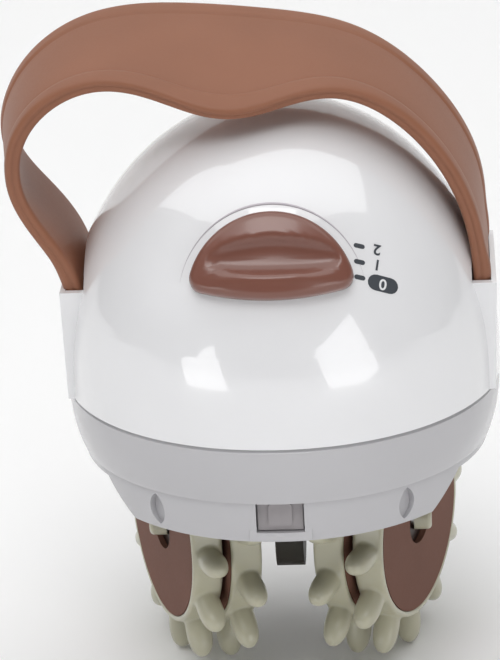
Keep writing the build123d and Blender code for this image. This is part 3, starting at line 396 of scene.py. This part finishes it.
# insets of the loops round the edge, then the shares that the last loop shrinks to
INSETS = (0, 0.12, 0.3, 0.6, 1.0, 1.5, 2.1, 2.8, 3.6)
SHRINKS = (0.88, 0.76, 0.64, 0.52, 0.4, 0.28, 0.16, 0.07)
INSIDE = 4.0
KNOB_CENTRE = (0.5, MIDDLE + 4.4)


def arc_through(x, half, height):
    """Height of the circular arc through (-half, 0), (0, height), (half, 0)."""
    r = (half * half + height * height) / (2 * abs(height))
    y = math.sqrt(max(0.0, r * r - x * x)) - (r - abs(height))
    return y if height > 0 else -y


def side_angle(p, q):
    """Direction square to the line from p to q, to its left."""
    return math.atan2(q[0] - p[0], -(q[1] - p[1]))


def lens_loop(inset, count=96):
    """Half-moon outline, moved in by `inset`."""
    half, up, down = HALF - TIP, RISE - TIP, DROP - TIP
    steps = count // 2
    xs = [half * math.cos(math.pi * i / steps) for i in range(steps + 1)]
    core = [(-x, arc_through(-x, half, up)) for x in xs]
    core += [(x, arc_through(x, half, -down)) for x in xs[1:-1]]
    grow = TIP - inset
    loop = []
    for i, (x, y) in enumerate(core):
        first = side_angle(core[i - 1], (x, y))
        turn = side_angle((x, y), core[(i + 1) % len(core)]) - first
        turn = (turn + math.pi) % (2 * math.pi) - math.pi
        fan = TIP_FAN if abs(turn) > SHARP_TURN else 1
        for j in range(fan):
            angle = first + turn * (j + 0.5) / fan
            loop.append((x + grow * math.cos(angle), y + grow * math.sin(angle) + MIDDLE))
    return loop


def knob_height(x, v, inset):
    """Height of the knob's top above the dome skin."""
    h = KNOB_H - REAR_FALL * max(0.0, (v - MIDDLE) / RISE) ** 2
    edge = min(1.0, inset / EDGE_WIDE)
    h -= EDGE_DEPTH * (1 - math.sqrt(max(0.0, 1 - (1 - edge) ** 2)))
    off = v - MIDDLE - HOLLOW_V
    u, t = (x - HOLLOW_X) / HOLLOW_HALF, off / (HOLLOW_UP if off > 0 else HOLLOW_DOWN)
    q = math.sqrt(u * u + t * t) if t > 0 else (abs(u) ** 2.6 + abs(t) ** 2.2) ** 0.42
    dip = max(0.0, 1 - q ** 3.0)
    ridge = math.exp(-((t - RIDGE_AT) / RIDGE_WIDE) ** 2) * max(0.0, 1 - abs(u) ** 3)
    return h - HOLLOW_DEPTH * dip ** 0.8 + RIDGE_H * ridge


def shrunk(outline, centre, share):
    """The outline drawn in towards a centre."""
    return [tuple(m + (p - m) * share for p, m in zip(point, centre)) for point in outline]


knob_rings = [[on_dome(x, v, lift) for x, v in lens_loop(0)] for lift in SKIRT]
for inset in INSETS:
    knob_rings.append([on_dome(x, v, knob_height(x, v, inset)) for x, v in lens_loop(inset)])
for share in SHRINKS:
    loop = shrunk(lens_loop(INSETS[-1]), KNOB_CENTRE, share)
    knob_rings.append([on_dome(x, v, knob_height(x, v, INSIDE)) for x, v in loop])
knob_mesh = fanned_tube(knob_rings, on_dome(*KNOB_CENTRE, SKIRT[0]),
                        on_dome(*KNOB_CENTRE, knob_height(*KNOB_CENTRE, INSIDE)))
knob = new_piece("switch_knob_grip", *knob_mesh, "knob", "knob", KNOB)
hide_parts("switch_knob")

# ------------------------------------------------------------------ printing on the dome
PRINT_TILT = math.radians(-9)
TICK_X, TICK_SIZE, TICK_LIFT = 24.0, (3.0, 1.3), 0.06
DIGIT_X, DIGIT_H, DIGIT_LIFT, BOLDER = 28.8, 4.2, 0.13, 0.016
PILL_X, PILL_SIZE, PILL_LIFT = 30.2, (8.2, 4.4), 0.08
CORNER_STEPS = 8


def patch(name, outline, lift, material):
    """Thin printed patch that follows the dome, from an outline of (x, v) points."""
    centre = tuple(sum(c) / len(outline) for c in zip(*outline))
    rows = [(0.0, 1.0), (lift, 1.0), (lift, 0.7), (lift, 0.4), (lift, 0.15)]
    rings = [[on_dome(x, v, level) for x, v in shrunk(outline, centre, share)]
             for level, share in rows]
    mesh = fanned_tube(rings, on_dome(*centre, 0), on_dome(*centre, lift))
    new_piece(name, *mesh, "housing", "dark", material, smooth=False)


def stadium(cx, cv, w, h):
    """Outline with round ends, w long and h high, at the print's tilt."""
    c, s = math.cos(PRINT_TILT), math.sin(PRINT_TILT)
    r = h / 2
    outline = []
    for side, start in ((1, -90), (-1, 90)):
        for i in range(CORNER_STEPS + 1):
            a = math.radians(start + 180 * i / CORNER_STEPS)
            x = side * (w / 2 - r) + r * math.cos(a)
            y = r * math.sin(a)
            outline.append((cx + x * c - y * s, cv + x * s + y * c))
    return outline


def flat_text(name, text):
    """Points, faces and edge lines of a text in the built-in font."""
    curve = bpy.data.curves.new(name, "FONT")
    curve.body = text
    curve.size = DIGIT_H
    curve.offset = BOLDER * DIGIT_H
    curve.align_x, curve.align_y = "CENTER", "CENTER"
    holder = bpy.data.objects.new(name + "_draft", curve)
    put_in_scene(holder)
    graph = bpy.context.evaluated_depsgraph_get()
    mesh = bpy.data.meshes.new_from_object(holder.evaluated_get(graph))
    bpy.data.objects.remove(holder)
    bpy.data.curves.remove(curve)
    work = bmesh.new()
    work.from_mesh(mesh)
    bmesh.ops.remove_doubles(work, verts=work.verts, dist=1e-4)
    points = [(v.co.x, v.co.y) for v in work.verts]
    faces = [tuple(v.index for v in f.verts) for f in work.faces]
    rims = [(e.verts[0].index, e.verts[1].index) for e in work.edges if e.is_boundary]
    work.free()
    bpy.data.meshes.remove(mesh)
    return points, faces, rims


def glyph(name, text, cx, cv, material):
    """Digit wrapped on to the dome, upside down as seen from the front."""
    points, tops, rims = flat_text(name, text)
    m = len(points)
    c, s = math.cos(math.pi + PRINT_TILT), math.sin(math.pi + PRINT_TILT)
    flat = [(cx + x * c - y * s, cv + x * s + y * c) for x, y in points]
    solid = [on_dome(x, v, DIGIT_LIFT) for x, v in flat] + [on_dome(x, v, 0.01) for x, v in flat]
    walls = [(a, b, m + b, m + a) for a, b in rims]
    under = [tuple(m + i for i in reversed(f)) for f in tops]
    new_piece(name, solid, tops + walls + under, "housing", "dark", material, smooth=False)


# height of the tick, its digit, how far lower the digit stands, and whether it is on a pill
MARKS = ((3.4, "2", 0.5, False), (-1.1, "1", 0.3, False), (-5.4, "0", 1.3, True))
for row, (v, digit, drop, pill) in enumerate(MARKS):
    patch(f"tick_{row}", stadium(TICK_X, v, *TICK_SIZE), TICK_LIFT, INK)
    if pill:
        patch("off_pill", stadium(PILL_X, v - drop, *PILL_SIZE), PILL_LIFT, INK)
    glyph(f"digit_{digit}", digit, PILL_X if pill else DIGIT_X, v - drop, WHITE if pill else INK)

# painted shadow: a fine darker line round the top of the knob's track stands in for the shade of a
# shallow recess that the dome does not have
LINE_HALF, LINE_RISE, LINE_STEPS, LINE_LIFT = 25.2, 20.6, 80, 0.045
line_rings = []
for i in range(LINE_STEPS + 1):
    x = -LINE_HALF * math.cos(math.pi * i / LINE_STEPS)
    v = arc_through(x, LINE_HALF, LINE_RISE) + MIDDLE - 0.3
    d = 0.32 * math.sin(math.pi * i / LINE_STEPS) + 0.04
    line_rings.append([on_dome(x, v - d, 0.0), on_dome(x, v - d, LINE_LIFT),
                       on_dome(x, v + d, LINE_LIFT), on_dome(x, v + d, 0.0)])
new_piece("track_shadow_line", *capped_tube(line_rings), "housing", "shell", TRACK_SHADOW)

# ------------------------------------------------------------------ finger rings
RING_R, DISC_R, HUB_R = 29.6, 27.75, 25.6
TREAD, COVER_T, FINGERS = 9.4, 2.0, 12
RING_STEPS, FINGER_STEPS = 144, 28
FINGER_THICK, FINGER_WIDE, SQUARENESS = 3.45, 3.75, 0.9
FINE_VOXEL, QUICK_VOXEL = 0.0005, 0.0008
# radius of each station of a finger, and its share of the full width and thickness
STATIONS = ((26.4, 0.94, 0.92), (29.4, 0.95, 0.94), (31.0, 0.98, 0.98), (33.0, 1.0, 1.0),
            (35.0, 0.99, 0.99), (36.8, 0.93, 0.93), (38.3, 0.82, 0.82), (39.5, 0.66, 0.66),
            (40.3, 0.48, 0.48), (40.77, 0.30, 0.30), (40.97, 0.12, 0.12))


def squared(value):
    """A sine or cosine pulled slightly towards a square section."""
    return math.copysign(abs(value) ** SQUARENESS, value)


def finger_mesh(angle):
    """One soft finger, narrow at its root and full towards its tip."""
    c, s = math.cos(angle), math.sin(angle)
    rings = []
    for radius, wide, thick in STATIONS:
        ring = []
        for i in range(FINGER_STEPS):
            a = 2 * math.pi * i / FINGER_STEPS
            tangential = FINGER_THICK * thick * squared(math.cos(a))
            axial = FINGER_WIDE * wide * squared(math.sin(a))
            ring.append((radius * c - tangential * s, radius * s + tangential * c, axial))
        rings.append(ring)
    return capped_tube(rings)


def ring_mesh(start_angle):
    """Tread ring with a rebate for its cover disc, and its fingers."""
    half = TREAD / 2
    seat = half - COVER_T
    section = [(HUB_R, -half), (RING_R - 0.8, -half), (RING_R, -half + 0.8), (RING_R, half - 0.7),
               (RING_R - 0.35, half), (DISC_R + 0.35, half), (DISC_R, half - 0.4), (DISC_R, seat),
               (HUB_R, seat)]
    verts, faces = [], []
    m = len(section)
    for i in range(RING_STEPS):
        a = 2 * math.pi * i / RING_STEPS
        here, after = i * m, (i + 1) % RING_STEPS * m
        verts += [(r * math.cos(a), r * math.sin(a), h) for r, h in section]
        faces += [(here + j, after + j, after + (j + 1) % m, here + (j + 1) % m) for j in range(m)]
    for k in range(FINGERS):
        points, quads = finger_mesh(start_angle + 2 * math.pi * k / FINGERS)
        faces += [tuple(len(verts) + i for i in quad) for quad in quads]
        verts += points
    return verts, faces


def wheel_matrix(x):
    """Places a wheel on the shaft, tilted, with its cover disc outwards."""
    side = 1 if x > 0 else -1
    out = Vector((side * math.cos(WHEEL_TILT), -math.sin(WHEEL_TILT), 0))
    down = Vector((0, 0, -1))
    turned = Matrix((down, out.cross(down), out)).transposed().to_4x4()
    return Matrix.Translation(Vector((x, 0, SHAFT_Z)) * MM) @ turned


for name, x in WHEELS.items():
    mesh = ring_mesh(0.0 if "outer" in name else math.pi / FINGERS)
    ring = new_piece(f"finger_wheel_{name}", *mesh, "shaft", "cream", CREAM)
    ring.parent = None
    remesh = ring.modifiers.new("union", "REMESH")
    remesh.mode = "VOXEL"
    remesh.voxel_size = FINE_VOXEL
    apply_modifiers(ring)
    relax = ring.modifiers.new("relax", "SMOOTH")
    relax.factor, relax.iterations = 0.5, 3
    apply_modifiers(ring)
    ring.data.transform(wheel_matrix(x))
    ring.data.polygons.foreach_set("use_smooth", [True] * len(ring.data.polygons))
    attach(ring, "shaft")
    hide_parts(f"finger_ring_{name}")

# ------------------------------------------------------------------ floor and world, m
FLOOR_HALF, WALL_Y, WALL_BEND, WALL_TOP, BEND_STEPS = 2.2, 1.4, 0.5, 2.4, 12
FLOOR_GAP = 0.0004
PAPER_TONE, WORLD_LIGHT = 0.93, 0.16


def paper_material():
    """Matt white paper with slightly uneven gloss."""
    mat = bpy.data.materials.new("paper_white")
    mat.use_nodes = True
    tree = mat.node_tree
    shader = tree.nodes["Principled BSDF"]
    soft = add_node(tree, "TexNoise", Scale=3.0)
    tone = add_node(tree, "MapRange", To_Min=0.80, To_Max=0.86)
    tree.links.new(soft.outputs["Fac"], tone.inputs["Value"])
    tree.links.new(tone.outputs[0], shader.inputs["Roughness"])
    shader.inputs["Base Color"].default_value = (PAPER_TONE, PAPER_TONE, PAPER_TONE, 1)
    shader.inputs["Specular IOR Level"].default_value = 0.1
    return mat


profile = [(-FLOOR_HALF, 0.0), (WALL_Y - WALL_BEND, 0.0)]
for i in range(1, BEND_STEPS + 1):
    a = math.pi / 2 * i / BEND_STEPS
    profile.append((WALL_Y - WALL_BEND + WALL_BEND * math.sin(a), WALL_BEND - WALL_BEND * math.cos(a)))
profile.append((WALL_Y, WALL_TOP))
floor_z = cad_box[0][2] - FLOOR_GAP
grid = [(x, y, z + floor_z) for y, z in profile for x in (-FLOOR_HALF, FLOOR_HALF)]
quads = [(2 * i, 2 * i + 1, 2 * i + 3, 2 * i + 2) for i in range(len(profile) - 1)]
floor_mesh = bpy.data.meshes.new("studio_floor")
floor_mesh.from_pydata(grid, [], quads)
floor_mesh.materials.append(paper_material())
floor_mesh.polygons.foreach_set("use_smooth", [True] * len(quads))
floor = bpy.data.objects.new("studio_floor", floor_mesh)
put_in_scene(floor)

scene = bpy.context.scene
world = bpy.data.worlds.new("studio")
scene.world = world
world.use_nodes = True
world.node_tree.nodes["Background"].inputs[0].default_value = (1, 1, 1, 1)
world.node_tree.nodes["Background"].inputs[1].default_value = WORLD_LIGHT

# ------------------------------------------------------------------ camera
CAM_AZ, CAM_EL, CAM_ROLL = math.radians(3.4), math.radians(20.5), math.radians(2.6)
CAM_D, CAM_F = 1.0, 3448.0
SHIFT_X, SHIFT_Y = -0.0099, 0.01087
SENSOR, LONG_SIDE = 36.0, 660.0
PIVOT = Vector((0, 0, 0.030))

backward = Vector((math.sin(CAM_AZ) * math.cos(CAM_EL), -math.cos(CAM_AZ) * math.cos(CAM_EL),
                   math.sin(CAM_EL)))
level_right = (-backward).cross(Vector((0, 0, 1))).normalized()
level_up = level_right.cross(-backward).normalized()
right = level_right * math.cos(CAM_ROLL) - level_up * math.sin(CAM_ROLL)
up = level_right * math.sin(CAM_ROLL) + level_up * math.cos(CAM_ROLL)
eye = PIVOT + backward * CAM_D + right * SHIFT_X + up * SHIFT_Y
camera_data = bpy.data.cameras.new("camera")
camera_data.lens = CAM_F * SENSOR / LONG_SIDE
camera_data.sensor_width = SENSOR
camera_data.clip_end = 20.0
camera = bpy.data.objects.new("camera", camera_data)
put_in_scene(camera)
camera.matrix_world = Matrix.Translation(eye) @ Matrix((right, up, backward)).transposed().to_4x4()
scene.camera = camera


# ------------------------------------------------------------------ light
def area_light(name, place, target, size, power, turn=0.0):
    """Square lamp at a place, aimed at a target and turned about its own axis."""
    data = bpy.data.lights.new(name, "AREA")
    data.energy = power
    data.size = size
    lamp = bpy.data.objects.new(name, data)
    put_in_scene(lamp)
    lamp.location = place
    aim = (Vector(target) - Vector(place)).to_track_quat("-Z", "Y").to_matrix()
    lamp.rotation_euler = (aim @ Matrix.Rotation(math.radians(turn), 3, "Z")).to_euler()


def mirror_place(x, v_deg, distance):
    """A point of the dome's front, and where a lamp stands to be mirrored in it."""
    z = ARC_Z + ARC_H * math.sin(math.radians(v_deg))
    y = -math.sqrt(max(0.0, dome_r(z) ** 2 - x * x))
    normal = Vector((x / SEAM_R ** 2, y / SEAM_R ** 2, (z - ARC_Z) / ARC_H ** 2)).normalized()
    point = Vector((x, y, z)) * MM
    seen = (eye - point).normalized()
    return point, point + (2 * normal.dot(seen) * normal - seen) * distance


BOX_DISTANCE, BOX_TURN = 0.75, 28
for name, x, v, size, power in (("softbox_left", -19.0, 10.5, 0.27, 0.62),
                                ("softbox_right", 20.0, 13.5, 0.36, 1.0)):
    point, place = mirror_place(x, v, BOX_DISTANCE)
    area_light(name, place, point, size, power, BOX_TURN)
area_light("top_panel", (-0.2, 0.4, 2.6), (0, 0.1, 0.0), 4.4, 92.0)
area_light("front_panel", (-0.1, -1.5, 2.3), (0, 0, 0.07), 1.2, 16.0)
area_light("side_fill", (-1.1, -0.5, 0.7), (0, 0, 0.03), 0.8, 0.4)

scene.view_settings.view_transform = "Standard"
scene.view_settings.look = "None"
